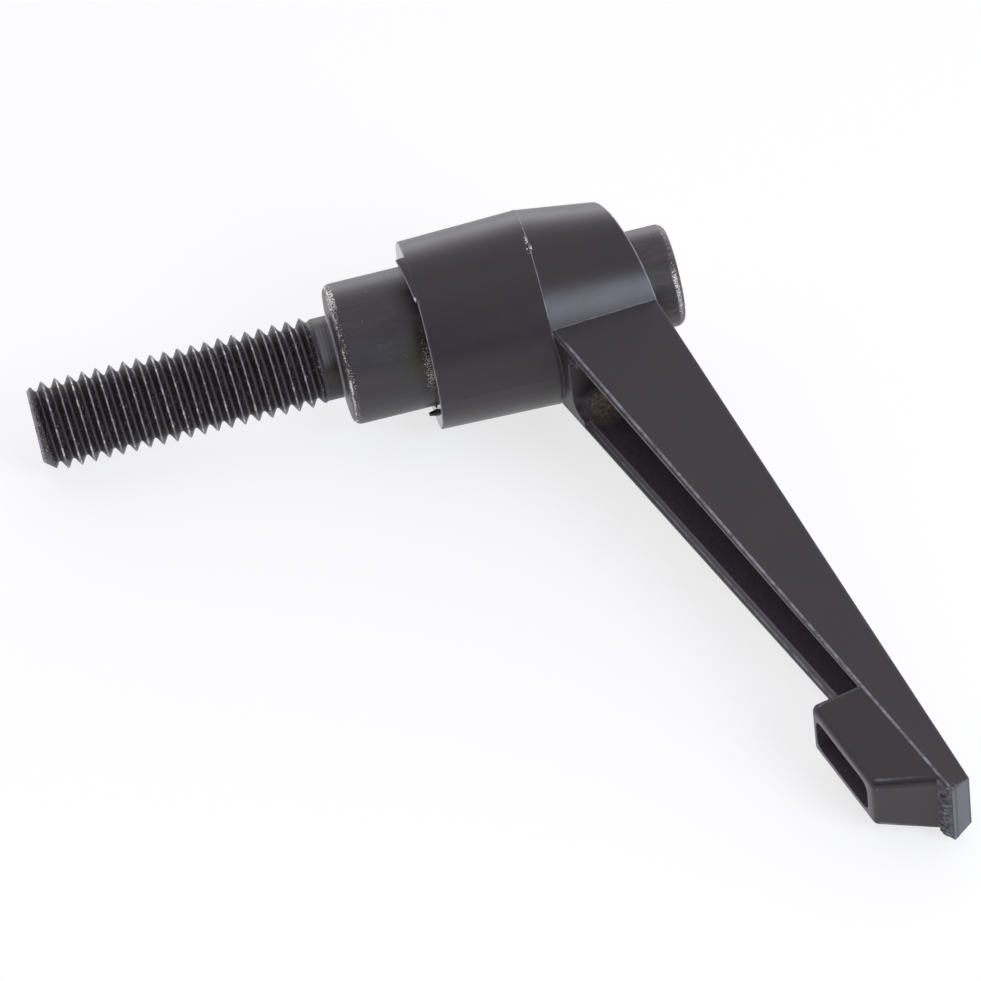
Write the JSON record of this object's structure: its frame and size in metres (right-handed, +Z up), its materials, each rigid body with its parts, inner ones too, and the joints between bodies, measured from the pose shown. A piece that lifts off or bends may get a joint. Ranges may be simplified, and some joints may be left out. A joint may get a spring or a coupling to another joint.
{
  "type": "adjustable clamping lever",
  "caption": "Adjustable clamping lever: a die-cast handle with a cored arm on a serrated steel insert with a threaded stud, held down by a shoulder screw and spring.",
  "frame": {"origin": "centre of the insert's seat face, where the collar rests on the clamped part", "axes": "+Z runs up the stud axis into the lever, +X points the way the arm points, +Y completes a right-handed frame"},
  "size_m": [0.0903, 0.0214, 0.0812],
  "materials": {
    "coated_casting": "satin black powder coat on a zinc die casting",
    "blackened_steel": "oiled black oxide, worn at its edges",
    "spring_steel": "bright spring wire"
  },
  "bodies": {
    "insert": {"threaded_insert": "blackened_steel", "retaining_screw": "blackened_steel"},
    "spring": {"return_spring": "spring_steel"},
    "lever": {"lever": "coated_casting"}
  },
  "joints": [
    {"name": "lift", "type": "slide", "parent": "insert", "child": "spring", "axis": [0, 0, 1], "range_m": [0, 0.004], "stiffness_N_per_m": 2000, "springref_m": -0.004, "deforming": ["return_spring"]},
    {"name": "index_turn", "type": "hinge", "parent": "spring", "child": "lever", "pos_m": [0, 0, 0.017], "axis": [0, 0, 1], "continuous": true}
  ]
}
